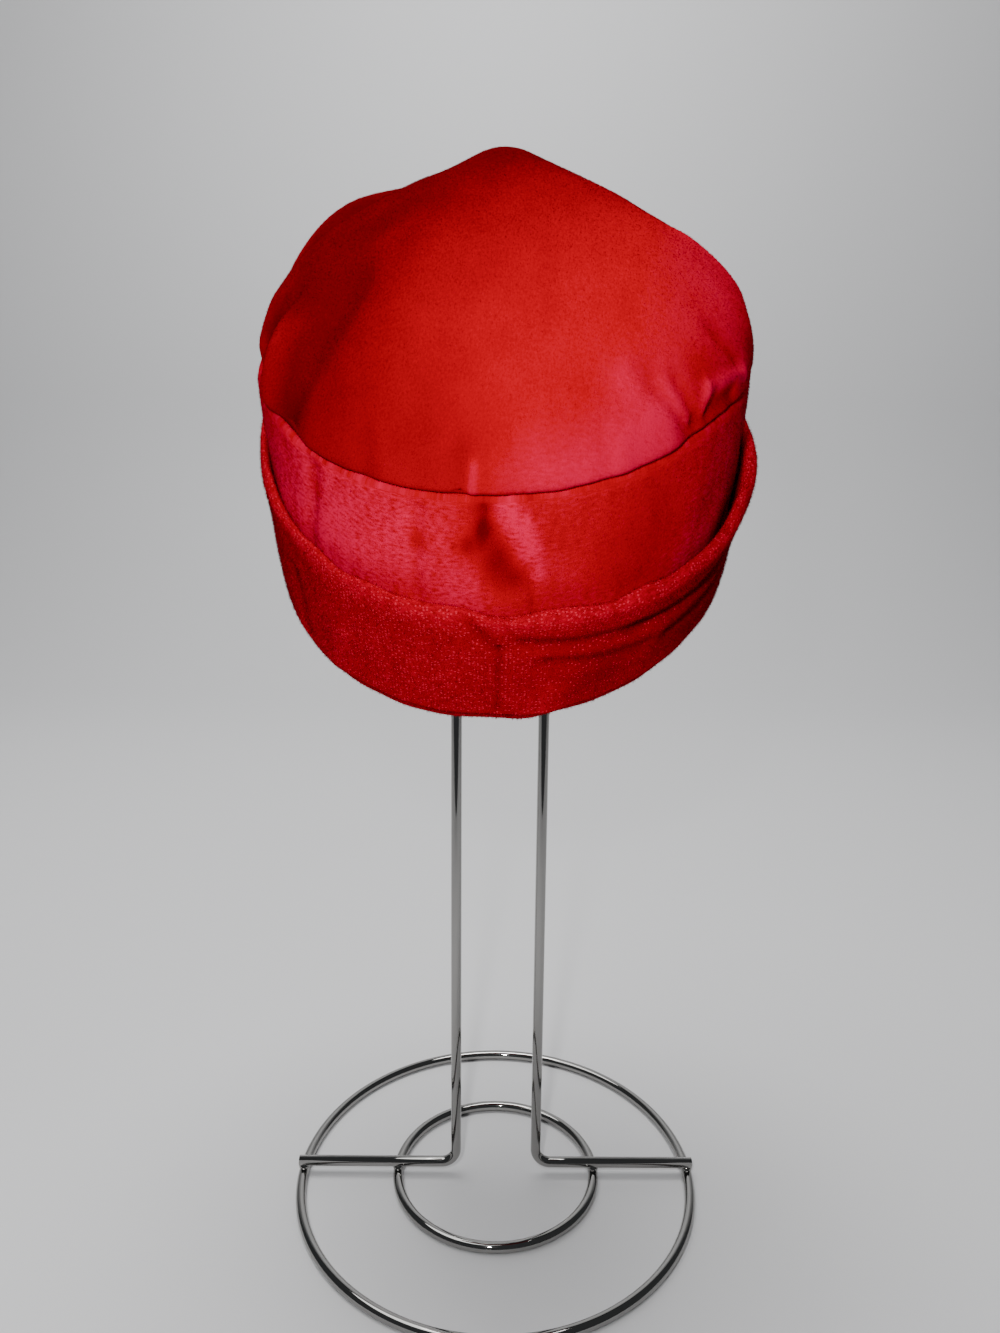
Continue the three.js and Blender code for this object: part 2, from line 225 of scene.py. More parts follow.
# %% Reading a table round the hat
def around(rows, column, angle):
    """A column of a ring table at any angle in radians."""
    at = np.array([row["angle"] for row in rows], float)
    value = np.tile(np.array([row[column] for row in rows], float), 3)
    at = np.concatenate([at - 360, at, at + 360])
    slope = np.zeros_like(value)
    slope[1:-1] = (value[2:] - value[:-2]) / (at[2:] - at[:-2])
    degrees = np.mod(np.degrees(angle), 360)
    k = np.searchsorted(at, degrees, side="right") - 1
    span = at[k + 1] - at[k]
    s = (degrees - at[k]) / span
    rising = 3 * s**2 - 2 * s**3
    return (
        (1 - rising) * value[k]
        + rising * value[k + 1]
        + span * ((s**3 - 2 * s**2 + s) * slope[k] + (s**3 - s**2) * slope[k + 1])
    )


def mix(a, b, share):
    """a where the share is 0, b where it is 1, and evenly between."""
    return a + (b - a) * share


TIP_TABLE = [
    {"angle": 0, "slope": 40, "reach": 0.30, "lean": 24, "belly": 0.25},
    {"angle": 45, "slope": 33, "reach": 0.32, "lean": 14, "belly": 0.28},
    {"angle": 90, "slope": 27, "reach": 0.37, "lean": 4, "belly": 0.31},
    {"angle": 135, "slope": 22, "reach": 0.38, "lean": 2, "belly": 0.33},
    {"angle": 180, "slope": 20, "reach": 0.38, "lean": 2, "belly": 0.33},
    {"angle": 225, "slope": 26, "reach": 0.38, "lean": -6, "belly": 0.50},
    {"angle": 250, "slope": 28, "reach": 0.33, "lean": 0, "belly": 0.38},
    {"angle": 280, "slope": 29, "reach": 0.30, "lean": 10, "belly": 0.22},
    {"angle": 315, "slope": 33, "reach": 0.30, "lean": 16, "belly": 0.27},
]
SEAM_TABLE = [
    {"angle": 0, "rise": 0, "hem": 0.01, "belly": 0.02},
    {"angle": 25, "rise": 0.04, "hem": 0.05, "belly": 0.03},
    {"angle": 50, "rise": 0.09, "hem": 0.09, "belly": 0.02},
    {"angle": 90, "rise": 0.02, "hem": 0.04, "belly": 0.02},
    {"angle": 150, "rise": 0, "hem": 0, "belly": 0.02},
    {"angle": 210, "rise": 0, "hem": 0, "belly": 0.02},
    {"angle": 270, "rise": 0, "hem": 0, "belly": 0.01},
    {"angle": 325, "rise": -0.03, "hem": -0.02, "belly": 0.02},
]
CUFF_TABLE = [
    {"angle": 0, "height": 0.81, "flare": 0.06, "roll": 0.5},
    {"angle": 25, "height": 0.76, "flare": 0.05, "roll": 0.9},
    {"angle": 50, "height": 0.72, "flare": 0.05, "roll": 1.3},
    {"angle": 90, "height": 0.90, "flare": 0.035, "roll": 0.9},
    {"angle": 150, "height": 1.05, "flare": 0.02, "roll": 0.7},
    {"angle": 210, "height": 1.05, "flare": 0.01, "roll": 0.5},
    {"angle": 270, "height": 1, "flare": 0, "roll": 0.3},
    {"angle": 315, "height": 0.87, "flare": 0.02, "roll": 0.3},
]
print("belly of the band at the right:", float(around(SEAM_TABLE, "belly", np.radians(90.0))))

# %% [markdown]
# A crease in velvet is a soft trough with round ends. Each one is a row: where it starts and ends,
# how wide and how deep it is. A negative depth makes a ridge. Each row also paints shade into its
# trough, or a painted highlight along its ridge. The trough is measured on the flat cloth, so the
# same helper serves the round tip and the long band. Patches of painted highlight and painted shade,
# laid in with the lie of the pile, are rows too.

# %% Creases
CREASE_SHADE = 0.15


def crease(start, end, width, depth, shade=CREASE_SHADE, fade=0.0):
    """One trough. start and end are (degrees, share), width and depth are millimetres.

    shade is painted shade in its bottom, or a painted highlight along a ridge,
    and fade is the part of its length over which it grows.
    """
    return {"start": start, "end": end, "width": width, "depth": depth, "shade": shade, "fade": fade}


def pressed(creases, place, flatten):
    """How deep the creases press in at flat places, an array of (..., 2) in metres."""
    depth = np.zeros(place.shape[:-1])
    for row in creases:
        start = flatten(*row["start"], place)
        end = flatten(*row["end"], start)
        along = end - start
        length = np.maximum((along**2).sum(-1), SHORTEST**2)
        way = np.clip(((place - start) * along).sum(-1) / length, 0, 1)
        off = np.linalg.norm(start + along * way[..., None] - place, axis=-1) / (row["width"] * MM)
        grown = np.clip(way / row["fade"], 0, 1) if row["fade"] else 1.0
        depth += row["depth"] * MM * np.exp(-(off**2)) * grown**2 * (3 - 2 * grown)
    return depth


def soft_waves(place, size, seed, count=14):
    """Slow random waves over a flat cloth, between about -1 and 1, the same on every run."""
    random = np.random.default_rng(seed)
    total = np.zeros(place.shape[:-1])
    for _ in range(count):
        heading = random.uniform(0, 2 * math.pi)
        wave = 2 * math.pi / (size * random.uniform(0.6, 1.7))
        phase = random.uniform(0, 2 * math.pi)
        flat = place[..., 0] * math.cos(heading) + place[..., 1] * math.sin(heading)
        total += np.sin(flat * wave + phase)
    return total / math.sqrt(count)


def pile_lie_and_painted_light(patches, creases, place, flatten):
    """The lie of the pile with painted light and shade: below 0 it is painted shade, above 0 a painted highlight and
    sheen.

    A patch is (degrees, share, size in millimetres, nap at its middle), a painted highlight or painted shade there.
    """
    total = np.zeros(place.shape[:-1])
    # Painted shade in the bottom of each crease, and a painted highlight along each ridge.
    for row in creases:
        total -= row["shade"] * pressed([row], place, flatten) / MM
    # Each patch paints a highlight or a shade into the lie of the pile.
    for degrees, share, size, nap_and_light in patches:
        off = np.linalg.norm(flatten(degrees, share, place) - place, axis=-1) / (size * MM)
        total += nap_and_light * np.exp(-(off**2))
    return np.clip(total, -1, 1)


print("waves at the origin:", round(float(soft_waves(np.zeros(2), 0.05, 1)), 3))

# %% [markdown]
# The hat has its own frame. Its axis is tipped forward, and the arch of the stand holds it off centre,
# behind the middle of the crown, which is why the front hangs low.

# %% The hat's frame
ACROSS = np.array([1.0, 0.0, 0.0])
UPHILL = np.array([0.0, math.cos(HAT_TILT), math.sin(HAT_TILT)])
AXIS = np.array([0.0, -math.sin(HAT_TILT), math.cos(HAT_TILT)])
ARCH_TOP = np.array([*STAND_MIDDLE, STAND_HEIGHT])
SEAM_CENTRE = ARCH_TOP - TIP_BACK * UPHILL - TIP_RISE * AXIS
CLOTH_RADIUS = (CROWN_WIDTH + CROWN_DEPTH) / 4


def hat_point(u, v, w):
    """A point in the hat's frame: u across it, v uphill and w along its axis from the seam."""
    return (
        SEAM_CENTRE
        + np.asarray(u)[..., None] * ACROSS
        + np.asarray(v)[..., None] * UPHILL
        + np.asarray(w)[..., None] * AXIS
    )


def band_place(angle, share):
    """The flat place on the unrolled band, in metres."""
    return np.stack([angle * CLOTH_RADIUS, share * BAND_HEIGHT], -1)


def unrolled(degrees, share, near):
    """A flat place of the band, on the turn that lies nearest to other places."""
    turns = np.round((near[..., 0] / CLOTH_RADIUS - math.radians(degrees)) / (2 * math.pi))
    return band_place(math.radians(degrees) + turns * 2 * math.pi, np.full(turns.shape, share))


def wall_point(angle, share, out):
    """The band's outer face: share runs from the hem to the seam, out is how far outside it."""
    belly = around(SEAM_TABLE, "belly", angle) * BAND_HEIGHT * np.sin(np.pi * np.clip(share, 0, 1))
    u = (mix(HEM_WIDTH, CROWN_WIDTH, share) / 2 + belly + out) * np.sin(angle)
    v = (mix(HEM_DEPTH, CROWN_DEPTH, share) / 2 + belly + out) * np.cos(angle)
    hem = around(SEAM_TABLE, "hem", angle)
    seam = around(SEAM_TABLE, "rise", angle)
    lift = mix(hem, seam, share) * BAND_HEIGHT
    return hat_point(u, BAND_SLANT * (share - 1) - v, BAND_HEIGHT * (share - 1) + lift)


def seam_point(angle, inside, up):
    """A point at the seam of tip and band, so far inside its line and so far up from it."""
    u = (CROWN_WIDTH / 2 - inside) * np.sin(angle)
    v = (CROWN_DEPTH / 2 - inside) * np.cos(angle)
    lift = around(SEAM_TABLE, "rise", angle) * BAND_HEIGHT
    return hat_point(u, -v, lift + up)


print("seam centre", SEAM_CENTRE.round(4))

# %% [markdown]
# A cloth piece is a grid of points: rings that go round the hat, one after another along the cut
# edge-to-edge section. Joining each point to its neighbours gives clean quads. The grid also carries
# the cloth's flat coordinates as a UV map, so that the rows of the pile follow the cloth.

# %% Grids and meshes
ROUND = 480
BACK_START = math.pi
angles = BACK_START + np.arange(ROUND) / ROUND * 2 * math.pi


def outward(grid):
    """The direction out of a face at every point of its rings."""
    along_ring = np.roll(grid, -1, axis=1) - np.roll(grid, 1, axis=1)
    down_rows = np.gradient(grid, axis=0)
    normal = np.cross(down_rows, along_ring)
    return normal / np.maximum(np.linalg.norm(normal, axis=-1, keepdims=True), SHORTEST**2)


def cloth_object(name, rows, flat, looped, poles=(False, False), inside_rows=(), nap_and_light=None):
    """A closed cloth mesh from its rings. flat gives the UV of each point, with one more column.

    looped joins the last ring to the first. Otherwise poles says which end rings are single points.
    """
    count = rows.shape[1]
    total = rows.shape[0]

    def ring_of(values, j):
        is_pole = (j == 0 and poles[0]) or (j == total - 1 and poles[1])
        return values[j, :1] if is_pole else values[j]

    vertices = []
    first = []
    for j in range(total):
        first.append(len(vertices))
        vertices.extend(ring_of(rows, j))
    faces = []
    uvs = []
    marks = []
    last = total if looped else total - 1
    for j in range(last):
        k = (j + 1) % total
        low_pole = j == 0 and poles[0]
        high_pole = k == total - 1 and poles[1]
        for i in range(count):
            n = (i + 1) % count
            a = first[j] + (0 if low_pole else i)
            b = first[j] + (0 if low_pole else n)
            c = first[k] + (0 if high_pole else n)
            d = first[k] + (0 if high_pole else i)
            corners = [(a, (j, i)), (b, (j, i + 1)), (c, (k, i + 1)), (d, (k, i))]
            if low_pole:
                corners.pop(1)
            if high_pole:
                corners.pop(2)
            faces.append([corner[0] for corner in corners])
            uvs.extend(flat[corner[1]] for corner in corners)
            marks.append(1 if j in inside_rows else 0)
    mesh = bpy.data.meshes.new(name)
    mesh.from_pydata([tuple(v) for v in vertices], [], faces)
    layer = mesh.uv_layers.new(name="cloth")
    layer.data.foreach_set("uv", np.array(uvs, dtype=np.float32).ravel())
    mesh.polygons.foreach_set("material_index", marks)
    mesh.polygons.foreach_set("use_smooth", [True] * len(faces))
    # The lie of the pile with its painted light and shade, kept on every point.
    if nap_and_light is not None:
        values = np.concatenate([ring_of(nap_and_light, j) for j in range(total)])
        attribute = mesh.attributes.new("nap_and_light", "FLOAT", "POINT")
        attribute.data.foreach_set("value", values.astype(np.float32))
    mesh.update()
    made = bpy.data.objects.new(name, mesh)
    bpy.context.collection.objects.link(made)
    print(name, len(mesh.vertices), "points", len(faces), "faces")
    return made


def closing(columns):
    """Adds the first angle again after a full turn, so that a UV map has no jump at the join."""
    return np.append(columns, columns[0] + 2 * math.pi)


# %% [markdown]
# The crown tip is a round of velvet draped over the wire arch. Near the arch the cloth wraps the wire
# like a torus. From there one curve at each angle falls to the seam: it leaves the arch at the slope
# that the photo shows and comes into the seam along the hat's axis, with a small outward belly.

# %% Crown tip: the drape
ARCH_RADIUS = UPRIGHT_SPACING / 2
ARCH_CENTRE = ARCH_TOP - np.array([0, 0, WIRE / 2 + ARCH_RADIUS])
ARCH_SWING = math.radians(24)
RIDGE_TURN = math.radians(48)
TIP_CREASES = [
    crease((307, 0.62), (305, 0.99), 8, 3.6),
    crease((292, 0.84), (294, 0.97), 8, -1.8),
    crease((287, 0.94), (288, 1.0), 3.5, 2.0),
    crease((28, 0.74), (41, 0.97), 3.5, 2.0, shade=0.2, fade=0.5),
    crease((34, 0.79), (41.5, 0.96), 1.8, -1.1, shade=0.5, fade=0.4),
    crease((38, 0.80), (43, 0.96), 2.2, 1.0, shade=0.3, fade=0.4),
    crease((47.5, 0.90), (45.5, 0.96), 1.5, -0.9, shade=0.6),
    crease((50.5, 0.93), (47, 0.98), 2, 0.6, shade=0.25),
    crease((48, 0.92), (64, 0.95), 2.2, -1.2, shade=0.5),
    crease((43, 0.98), (57, 0.97), 2.5, 1.2, shade=0.4),
    crease((105, 0.50), (106, 0.85), 5, 2.0),
    crease((351, 0.90), (351, 1.0), 3, 1.0),
    # A thin ridge above the seam, with a painted highlight streak along it.
    crease((353.6, 0.94), (353.6, 1.0), 1.6, -0.6, shade=1.2),
    crease((2, 0.92), (2, 1.0), 3.5, 0.7),
    crease((330, 0.93), (331, 1.0), 4, 0.6),
    crease((72, 0.92), (74, 1.0), 4, 0.5),
    crease((88, 0.55), (92, 0.80), 7, -1.0),
    crease((238, 0.40), (256, 0.80), 6, 5.0),
    crease((234, 0.62), (246, 0.86), 11, -1.2),
    crease((281, 0.70), (276, 0.92), 5, 2.2),
    crease((281, 0.88), (281, 0.97), 6.4, 2.6),
    crease((96, 0.44), (102, 0.88), 6.5, 2.6),
    crease((52, 0.72), (62, 0.90), 3, 1.8, shade=0.2, fade=0.6),
]


def cap_point(angle, share, clear):
    swing = ARCH_SWING * share * np.sin(angle)
    turn = RIDGE_TURN * share * np.cos(angle)
    reach = ARCH_RADIUS + clear * np.cos(turn)
    offset = np.stack([reach * np.sin(swing), -clear * np.sin(turn), reach * np.cos(swing)], -1)
    return ARCH_CENTRE + offset


def tip_curve(angle, share):
    """Points of the falling curves: a cubic Bezier at each angle."""
    start = cap_point(angle, 1, WIRE / 2 + CLEARANCE + VELVET)
    end = seam_point(angle, 0, CLEARANCE / 2 + SEAM_TUCK)
    level = (end - start) * np.array([1, 1, 0])
    level /= np.linalg.norm(level, axis=-1, keepdims=True)
    slope = np.radians(around(TIP_TABLE, "slope", angle))[..., None]
    lean = np.radians(around(TIP_TABLE, "lean", angle))[..., None]
    chord = np.linalg.norm(end - start, axis=-1, keepdims=True)
    leave = level * np.cos(slope) - np.array([0, 0, 1.0]) * np.sin(slope)
    inward = (seam_point(angle, MM, 0) - seam_point(angle, 0, 0)) / MM
    arrive = AXIS * np.cos(lean) + inward * np.sin(lean)
    near_start = start + leave * chord * around(TIP_TABLE, "reach", angle)[..., None]
    near_end = end + arrive * chord * around(TIP_TABLE, "belly", angle)[..., None]
    t = share
    rest = 1 - t
    return rest**3 * start + 3 * rest**2 * t * near_start + 3 * rest * t**2 * near_end + t**3 * end


def tip_place(degrees, share, near=None):
    reach = share * CLOTH_RADIUS
    turn = np.radians(degrees)
    place = np.stack([np.sin(turn) * reach, np.cos(turn) * reach], -1)
    return place if near is None else np.broadcast_to(place, near.shape)


CAP_RINGS = 6
CURVE_RINGS = 96
TUCK_RINGS = 5
cap_shares = np.linspace(0, 1, CAP_RINGS)
curve_shares = np.linspace(0, 1, CURVE_RINGS + 1)[1:]
tuck_turns = np.linspace(0, math.pi / 2, TUCK_RINGS + 1)[1:]
print("rings of the tip:", CAP_RINGS + CURVE_RINGS + TUCK_RINGS)

# %% [markdown]
# The smooth drape then gets what makes it cloth: the main creases, slow waves a hand wide, and the
# small puckers where a round of cloth is eased into its seam.

# %% Crown tip: the mesh
# Painted highlights near the front of the seam and on the right, painted shade on the left, at the back and towards
# the top.
TIP_PATCHES = [
    (14, 0.99, 8, 0.9),
    (24, 0.97, 10, 0.9),
    (34, 0.95, 11, 0.8),
    (42, 0.84, 18, 0.2),
    (28, 0.79, 5, 0.5),
    (33, 0.92, 4, 0.4),
    (46, 0.84, 7, -0.3),
    (99, 0.66, 9, 0.4),
    (64, 0.72, 20, 0.35),
    (92, 0.60, 26, 0.5),
    (64, 0.95, 8, 0.4),
    (5, 0.97, 9, 0.6),
    (347, 0.90, 14, -0.25),
    (325, 0.86, 30, -0.35),
    (295, 0.72, 42, -0.6),
    (245, 0.40, 45, -0.7),
    (170, 0.30, 50, -0.8),
    (120, 0.90, 40, -0.3),
    (200, 0.90, 60, -0.4),
]
TIP_WAVE_HEIGHT = 0.5 * MM
TIP_WAVE_SIZE = 0.045
TIP_CALM = 1.6
TIP_PUCKER = 0.14 * MM
TIP_EASED = 0.09


def puckers(angle, seed, fewest, most):
    """Uneven small waves round a seam, between fewest and most of them."""
    random = np.random.default_rng(seed)
    total = np.zeros_like(angle)
    for _ in range(10):
        total += np.sin(angle * random.integers(fewest, most) + random.uniform(0, 2 * math.pi))
    return total / math.sqrt(10)


def tucked_edge(turn, side):
    """The edge rolled in at the seam: side is 1 above the seam and -1 below it."""
    inside = SEAM_TUCK * (1 - math.cos(turn))
    away = CLEARANCE / 2 + SEAM_TUCK * (1 - math.sin(turn))
    return seam_point(angles, inside, side * away)


tip_outer = np.concatenate([
    np.stack([cap_point(angles, share, WIRE / 2 + CLEARANCE + VELVET) for share in cap_shares]),
    np.stack([tip_curve(angles, share) for share in curve_shares]),
    np.stack([tucked_edge(turn, 1) for turn in tuck_turns]),
])
tip_share = np.concatenate([np.zeros(CAP_RINGS), curve_shares, np.ones(TUCK_RINGS)])


def tip_grid(turns, shares):
    """The flat place of every grid point: rows are shares, columns are turns."""
    return tip_place(np.degrees(turns)[None, :], shares[:, None] * np.ones((1, len(turns))))


tip_flat = tip_grid(angles, tip_share)
settle = np.clip(tip_share * TIP_CALM, 0, 1)[:, None]
near_seam = np.exp(-(((1 - tip_share) / TIP_EASED) ** 2))[:, None]
hold = np.concatenate([np.ones(CAP_RINGS + CURVE_RINGS), np.cos(tuck_turns)])[:, None]
relief = -pressed(TIP_CREASES, tip_flat, tip_place)
relief += settle * TIP_WAVE_HEIGHT * soft_waves(tip_flat, TIP_WAVE_SIZE, 11)
relief += near_seam * TIP_PUCKER * puckers(angles, 12, 22, 64)[None, :]
relief[:CAP_RINGS] = 0
tip_face = tip_outer + outward(tip_outer) * (relief * hold)[..., None]
tip_inner = tip_face - outward(tip_face) * VELVET
tip_inner[0] = cap_point(angles, 0, WIRE / 2 + CLEARANCE)
tip_inner[-1] = seam_point(angles, SEAM_TUCK + VELVET, CLEARANCE / 2)
inner_kept = [*range(0, len(tip_inner) - 1, 3), len(tip_inner) - 1]
tip_rows = np.concatenate([tip_inner[inner_kept], tip_face[::-1]])
row_share = np.concatenate([tip_share[inner_kept], tip_share[::-1]])
crown_tip = cloth_object(
    "velvet_crown_tip", tip_rows, tip_grid(closing(angles), row_share), False, poles=(True, True),
    inside_rows=range(len(inner_kept)),
    nap_and_light=pile_lie_and_painted_light(TIP_PATCHES, TIP_CREASES, tip_grid(angles, row_share), tip_place),
)

# %% [markdown]
# Close up, velvet is threads. About a hundred thousand of them stand on each face as thin triangles,
# joined in one mesh. They lean down the cloth, and each takes the cloth's own normal, so that they
# shade as one soft surface and show singly only at the outline.

# %% Pile
THREAD_HALF_WIDTH = 0.075 * MM
THREAD_ROOT = 0.1 * MM
UNRULY = 0.25


def pile(name, face, flat, nap_and_light, count, length, lean, uneven, seed):
    """Short threads on a face grid, as one joined mesh of thin triangles.

    lean tips them down the cloth, and uneven spreads the painted light and shade of each one and gives a few a painted
    glint.
    """
    random = np.random.default_rng(seed)
    here = face[:-1]
    after = np.roll(here, -1, axis=1)
    below = face[1:]
    area = np.linalg.norm(np.cross(after - here, below - here), axis=-1)
    chance = (area / area.sum()).ravel()
    chosen = random.choice(chance.size, count, p=chance)
    j, i = np.divmod(chosen, here.shape[1])
    n = (i + 1) % here.shape[1]
    s = random.random((count, 1))
    t = random.random((count, 1))

    def between(grid, wrap):
        low = grid[j, i] * (1 - s) + grid[j, wrap] * s
        high = grid[j + 1, i] * (1 - s) + grid[j + 1, wrap] * s
        return low * (1 - t) + high * t

    root = between(face, n)
    normal = between(outward(face), n)
    normal /= np.linalg.norm(normal, axis=-1, keepdims=True)
    fall = face[j + 1, i] - face[j, i]
    fall /= np.linalg.norm(fall, axis=-1, keepdims=True)
    jitter = random.normal(0, UNRULY, (count, 3))
    thread = normal + fall * lean + jitter
    thread /= np.linalg.norm(thread, axis=-1, keepdims=True)
    thread *= length * random.uniform(0.6, 1.15, (count, 1))
    side = np.cross(thread, random.normal(0, 1, (count, 3)))
    side *= THREAD_HALF_WIDTH / np.linalg.norm(side, axis=-1, keepdims=True)
    root -= normal * THREAD_ROOT
    points = np.stack([root - side, root + side, root + thread], axis=1)
    facing = np.cross(points[:, 1] - points[:, 0], points[:, 2] - points[:, 0])
    flip = (facing * normal).sum(-1) < 0
    points[flip] = points[flip][:, [1, 0, 2]]
    mesh = bpy.data.meshes.new(name)
    mesh.from_pydata(points.reshape(-1, 3).tolist(), [], np.arange(count * 3).reshape(-1, 3).tolist())
    layer = mesh.uv_layers.new(name="cloth")
    place = between(flat, i + 1)
    layer.data.foreach_set("uv", np.repeat(place, 3, axis=0).astype(np.float32).ravel())
    # Each thread takes the painted light and shade of the cloth under it, spread a little, and a few get a painted
    # glint.
    lie_and_light = between(nap_and_light[..., None], n)[:, 0] + random.normal(0, uneven, count)
    lie_and_light += np.where(random.random(count) < uneven / 5, 1.0, 0.0)
    attribute = mesh.attributes.new("nap_and_light", "FLOAT", "POINT")
    attribute.data.foreach_set("value", np.repeat(lie_and_light, 3).astype(np.float32))
    mesh.polygons.foreach_set("use_smooth", [True] * count)
    mesh.normals_split_custom_set_from_vertices(np.repeat(normal, 3, axis=0).tolist())
    made = bpy.data.objects.new(name, mesh)
    bpy.context.collection.objects.link(made)
    print(name, count, "threads")
    return made


tip_nap_and_light = pile_lie_and_painted_light(TIP_PATCHES, TIP_CREASES, tip_flat, tip_place)
tip_pile = pile(
    "velvet_crown_pile", tip_face, tip_grid(closing(angles), tip_share), tip_nap_and_light,
    count=130000, length=0.6 * MM, lean=0.5, uneven=0.2, seed=51,
)

# %% [markdown]
# The side band is one strip of velvet, sewn into a ring at the front. It rises from the fold of the
# cuff to the seam under the tip, and its top edge turns in to meet the tip's.

# %% Side band
BAND_CREASES = [
    crease((3, 1.0), (8, 0.25), 0.9, 0.8, shade=0.3),
    crease((356, 0.97), (355.6, 0.80), 1.8, 0.9, shade=0.4),
    crease((94, 0.85), (98, 0.50), 17, -2.4, shade=0.1),
    crease((276, 0.85), (272, 0.50), 15, -1.8, shade=0.1),
    crease((356, 1.0), (359, 0.66), 6, 1.8, shade=0.2),
    crease((342, 0.98), (341, 0.55), 3.5, 1.3),
    crease((316, 1.0), (311, 0.55), 4, 1.6),
]
# Painted sheen on the left of the band, painted highlights and painted shade about its front seam, and painted shade
# at the back.
BAND_PATCHES = [
    (292, 0.60, 22, 0.8),
    (318, 0.75, 22, 0.9),
    (340, 0.80, 14, 0.7),
    (352, 0.60, 8, 0.4),
    (355.8, 0.86, 3, -0.6),
    (352.5, 0.80, 3, -0.6),
    (359, 0.73, 6.5, -0.4),
    (3, 0.66, 4, -0.4),
    (350, 0.38, 14, 0.5),
    (20, 0.36, 12, 0.45),
    (45, 0.42, 16, 0.4),
    (0.5, 0.95, 4.5, 1.2),
    (3.2, 0.86, 4.5, 1.2),
    (5.2, 0.77, 3.5, 1.2),
    (7, 0.68, 3, 0.8),
    (342, 0.80, 4, -0.7),
    (316, 0.84, 4, -0.6),
    (30, 0.72, 20, -0.3),
    (62, 0.75, 26, 0.35),
    (85, 0.60, 20, 0.3),
    (180, 0.60, 90, -0.3),
]
CUFF_FOLD = CUFF_CLOTH + 2 * CLEARANCE
BAND_RINGS = 56
band_foot = CUFF_FOLD / BAND_HEIGHT
band_top = 1 - (SEAM_TUCK + CLEARANCE / 2) / BAND_HEIGHT


BAND_WAVE_HEIGHT = 0.35 * MM
BAND_WAVE_SIZE = 0.03
BAND_PUCKER = 0.12 * MM
BAND_PUCKER_REACH = 0.007
BAND_CREASE_FADE = 5 * MM


def band_face(shares, back):
    """The band's face at some shares of its height, moved back by a thickness for its inside."""
    angle, share = np.meshgrid(angles, shares)
    place = band_place(angle, share)
    below_top = (1 - share) * BAND_HEIGHT
    near_top = np.exp(-((below_top / BAND_PUCKER_REACH) ** 2))
    depth = pressed(BAND_CREASES, place, unrolled) * np.clip(below_top / BAND_CREASE_FADE, 0, 1)
    depth -= BAND_WAVE_HEIGHT * soft_waves(place, BAND_WAVE_SIZE, 21) * np.sin(np.pi * np.clip(share, 0, 1))
    depth += near_top * BAND_PUCKER * puckers(angles, 22, 22, 64)[None, :]
    return wall_point(angle, share, -depth - back)


band_shares = np.linspace(band_foot, band_top, BAND_RINGS)
inside_shares = np.linspace(band_top, band_foot, BAND_RINGS // 3)
tuck = np.stack([tucked_edge(turn, -1) for turn in tuck_turns])
band_rows = np.concatenate([
    band_face(band_shares, 0),
    tuck,
    seam_point(angles, SEAM_TUCK + VELVET, -CLEARANCE / 2)[None],
    band_face(inside_shares, VELVET),
])
band_row_share = np.concatenate([band_shares, np.ones(TUCK_RINGS + 1), inside_shares])
band_uv = np.stack(np.broadcast_arrays(
    closing(angles)[None, :] * CLOTH_RADIUS, band_row_share[:, None] * BAND_HEIGHT), -1)
band_inside = range(BAND_RINGS + TUCK_RINGS, len(band_rows))
band_nap_and_light = pile_lie_and_painted_light(BAND_PATCHES, BAND_CREASES, band_uv[:, :-1], unrolled)
side_band = cloth_object(
    "velvet_side_band", band_rows, band_uv, True, inside_rows=band_inside, nap_and_light=band_nap_and_light,
)
shown = slice(0, BAND_RINGS)
band_pile = pile(
    "velvet_band_pile", band_rows[shown][::-1], band_uv[shown][::-1], band_nap_and_light[shown][::-1],
    count=90000, length=0.8 * MM, lean=0.6, uneven=0.4, seed=52,
)

# %% [markdown]
# The cuff is the band's own lower edge, folded double and turned up. It starts with a short lip
# inside, passes under the edge and stands outside as a soft double layer with a rolled top.

# %% Cuff
CUFF_CREASES = [
    crease((5, 0.75), (30, 0.66), 4.5, 1.7, shade=0.2),
    crease((30, 0.66), (66, 0.62), 5, 2.4, shade=0.2),
    crease((10, 0.56), (32, 0.42), 5, 1.4, shade=0.2),
    crease((353, 0.94), (358.7, 0.70), 2.5, 1.0, shade=0.3),
    crease((40, 0.40), (70, 0.42), 5, 1.6),
    crease((66, 0.62), (95, 0.75), 5, 2.0),
    crease((305, 0.60), (305, 0.15), 5, 1.2),
    crease((322, 0.45), (318, 0.10), 6, -1.0),
    crease((10, 0.05), (12, 0.25), 6, -1.2),
    crease((359.3, 0.72), (359, 0.12), 1.2, 0.9, shade=0.4),
]
# Painted sheen on the left of the cuff, painted shade on its right.
CUFF_PATCHES = [
    (300, 0.30, 26, 0.2),
    (335, 0.30, 24, 0.1),
    (20, 0.30, 14, -0.3),
    (45, 0.35, 18, -0.5),
    (75, 0.40, 24, -0.2),
]
CUFF_RINGS = 54
ROLL_RINGS = 14
LIP_CLOTH = CUFF_CLOTH * 0.7
lip_face = -VELVET - 2 * CLEARANCE
cuff_face = 2 * CLEARANCE
CUFF_WAVE_HEIGHT = 0.4 * MM
CUFF_WAVE_SIZE = 0.035


def cuff_point(angle, way, rise, out, thick_share):
    """A point of the cuff: way is the share of its height, rise adds metres to it."""
    tall = CUFF_HEIGHT * around(CUFF_TABLE, "height", angle)
    flare = CUFF_HEIGHT * around(CUFF_TABLE, "flare", angle) * way**2 * (3 - 2 * way)
    place = band_place(angle, way * np.ones_like(angle))
    dent = pressed(CUFF_CREASES, place, unrolled) * thick_share
    dent -= CUFF_WAVE_HEIGHT * soft_waves(place, CUFF_WAVE_SIZE, 31) * way * thick_share
    away = out + np.maximum(flare - dent, -MM * thick_share)
    return wall_point(angle, (tall * way + rise) / BAND_HEIGHT, away)


